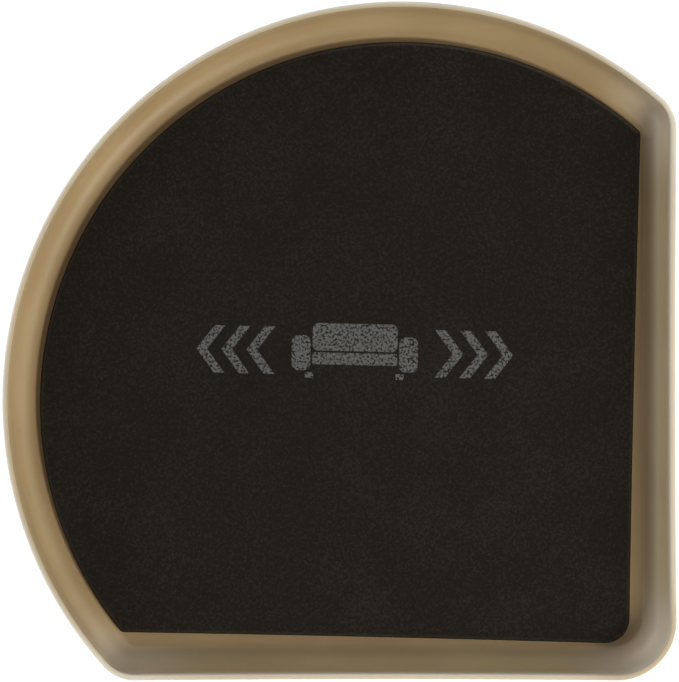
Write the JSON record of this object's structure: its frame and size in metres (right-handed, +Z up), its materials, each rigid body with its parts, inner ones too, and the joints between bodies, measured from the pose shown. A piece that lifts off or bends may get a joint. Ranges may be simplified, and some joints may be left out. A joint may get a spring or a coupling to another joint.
{
  "type": "furniture slider",
  "caption": "Shallow D-shaped moulded plastic tray with a coved wall and a soft foam pad stuck to its floor, put under furniture so that it glides over carpet.",
  "frame": {"origin": "middle of the tray's outline, on the flat underside that glides over the floor", "axes": "+Z up out of the tray's mouth, +X towards the right-hand straight side, -Y towards the front straight side; the square corner between the straight sides lies at +X -Y"},
  "size_m": [0.2146, 0.216, 0.016],
  "materials": {
    "tray_plastic": "satin beige moulded plastic, slightly waxy and a little translucent at the lip",
    "film_adhesive": "clear amber two-sided adhesive film",
    "pad_foam": "matt warm-black closed-cell foam with a fine speckled grain"
  },
  "bodies": {
    "root": {"slider_tray": "tray_plastic", "adhesive_film": "film_adhesive", "foam_pad": "pad_foam"}
  },
  "joints": []
}
